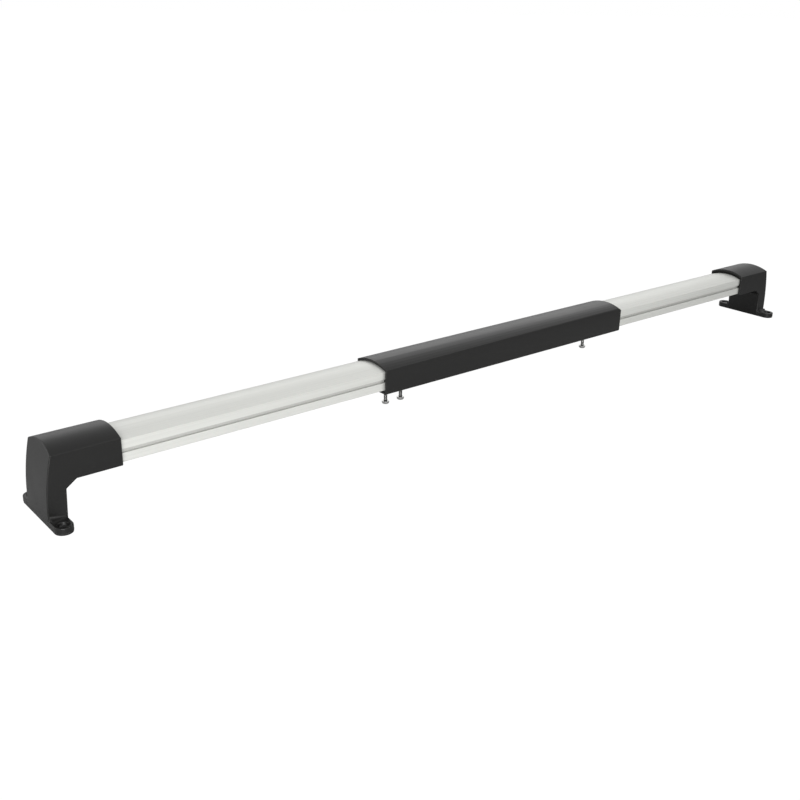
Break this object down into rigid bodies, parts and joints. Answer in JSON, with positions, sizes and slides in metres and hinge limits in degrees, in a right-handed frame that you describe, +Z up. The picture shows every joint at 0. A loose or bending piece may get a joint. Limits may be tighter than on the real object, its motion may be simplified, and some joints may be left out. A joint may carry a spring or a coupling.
{
  "type": "bed cargo bar",
  "caption": "Adjustable cross bar for a truck bed: domed aluminium bars slide in a black centre sleeve and stand on moulded feet that bolt down.",
  "frame": {"origin": "midway between the feet, on the plane under their rubber pads", "axes": "+X along the bar towards the right foot, +Y across the bar, +Z up"},
  "size_m": [1.6036, 0.131, 0.1071],
  "materials": {
    "sleeve_coating": "satin black powder coating",
    "anodised_bar": "satin anodised, drawn along its length",
    "moulded_nylon": "fine-grained matt black moulding",
    "black_bush": "smooth matt black nylon",
    "zinc_steel": "bright zinc plating",
    "pad_rubber": "matt rubber"
  },
  "bodies": {
    "sleeve": {"center_sleeve": "sleeve_coating", "sleeve_bush_left": "black_bush", "sleeve_bush_right": "black_bush", "clamp_nut_plate_left": "zinc_steel", "clamp_nut_plate_right": "zinc_steel"},
    "left_bar": {"bar_left": "anodised_bar", "bar_glide_left": "black_bush", "foot_left": "moulded_nylon", "foot_pad_left": "pad_rubber", "foot_nut_plate_left": "zinc_steel", "foot_screws_left": "zinc_steel", "foot_washers_left": "zinc_steel"},
    "right_bar": {"bar_right": "anodised_bar", "bar_glide_right": "black_bush", "foot_right": "moulded_nylon", "foot_pad_right": "pad_rubber", "foot_nut_plate_right": "zinc_steel", "foot_screws_right": "zinc_steel", "foot_washers_right": "zinc_steel"},
    "washer_left_outer": {"clamp_washer_left_outer": "zinc_steel"},
    "screw_left_outer": {"clamp_screw_left_outer": "zinc_steel"},
    "washer_left_inner": {"clamp_washer_left_inner": "zinc_steel"},
    "screw_left_inner": {"clamp_screw_left_inner": "zinc_steel"},
    "washer_right_inner": {"clamp_washer_right_inner": "zinc_steel"},
    "screw_right_inner": {"clamp_screw_right_inner": "zinc_steel"},
    "washer_right_outer": {"clamp_washer_right_outer": "zinc_steel"},
    "screw_right_outer": {"clamp_screw_right_outer": "zinc_steel"}
  },
  "joints": [
    {"name": "left_bar_slide", "type": "slide", "parent": "sleeve", "child": "left_bar", "axis": [-1, 0, 0], "range_m": [-0.107, 0.07]},
    {"name": "right_bar_slide", "type": "slide", "parent": "sleeve", "child": "right_bar", "axis": [1, 0, 0], "range_m": [-0.066, 0.11]},
    {"name": "clamp_travel_left_outer", "type": "slide", "parent": "sleeve", "child": "washer_left_outer", "axis": [0, 0, 1], "range_m": [0, 0.02635]},
    {"name": "clamp_turn_left_outer", "type": "hinge", "parent": "washer_left_outer", "child": "screw_left_outer", "pos_m": [-0.2325, 0, 0.05], "axis": [0, 0, 1], "range_deg": [0, 9490]},
    {"name": "clamp_travel_left_inner", "type": "slide", "parent": "sleeve", "child": "washer_left_inner", "axis": [0, 0, 1], "range_m": [0, 0.02635]},
    {"name": "clamp_turn_left_inner", "type": "hinge", "parent": "washer_left_inner", "child": "screw_left_inner", "pos_m": [-0.2015, 0, 0.05], "axis": [0, 0, 1], "range_deg": [0, 9490]},
    {"name": "clamp_travel_right_inner", "type": "slide", "parent": "sleeve", "child": "washer_right_inner", "axis": [0, 0, 1], "range_m": [0, 0.02635]},
    {"name": "clamp_turn_right_inner", "type": "hinge", "parent": "washer_right_inner", "child": "screw_right_inner", "pos_m": [0.2425, 0, 0.05], "axis": [0, 0, 1], "range_deg": [0, 9490]},
    {"name": "clamp_travel_right_outer", "type": "slide", "parent": "sleeve", "child": "washer_right_outer", "axis": [0, 0, 1], "range_m": [-0.02635, 0]},
    {"name": "clamp_turn_right_outer", "type": "hinge", "parent": "washer_right_outer", "child": "screw_right_outer", "pos_m": [0.2735, 0, 0.05], "axis": [0, 0, 1], "range_deg": [-9490, 0]}
  ],
  "couplings": [
    {"joint": "clamp_turn_left_outer", "follows": "clamp_travel_left_outer", "rad_per_m": 6283.2},
    {"joint": "clamp_turn_left_inner", "follows": "clamp_travel_left_inner", "rad_per_m": 6283.2},
    {"joint": "clamp_turn_right_inner", "follows": "clamp_travel_right_inner", "rad_per_m": 6283.2},
    {"joint": "clamp_turn_right_outer", "follows": "clamp_travel_right_outer", "rad_per_m": 6283.2}
  ]
}
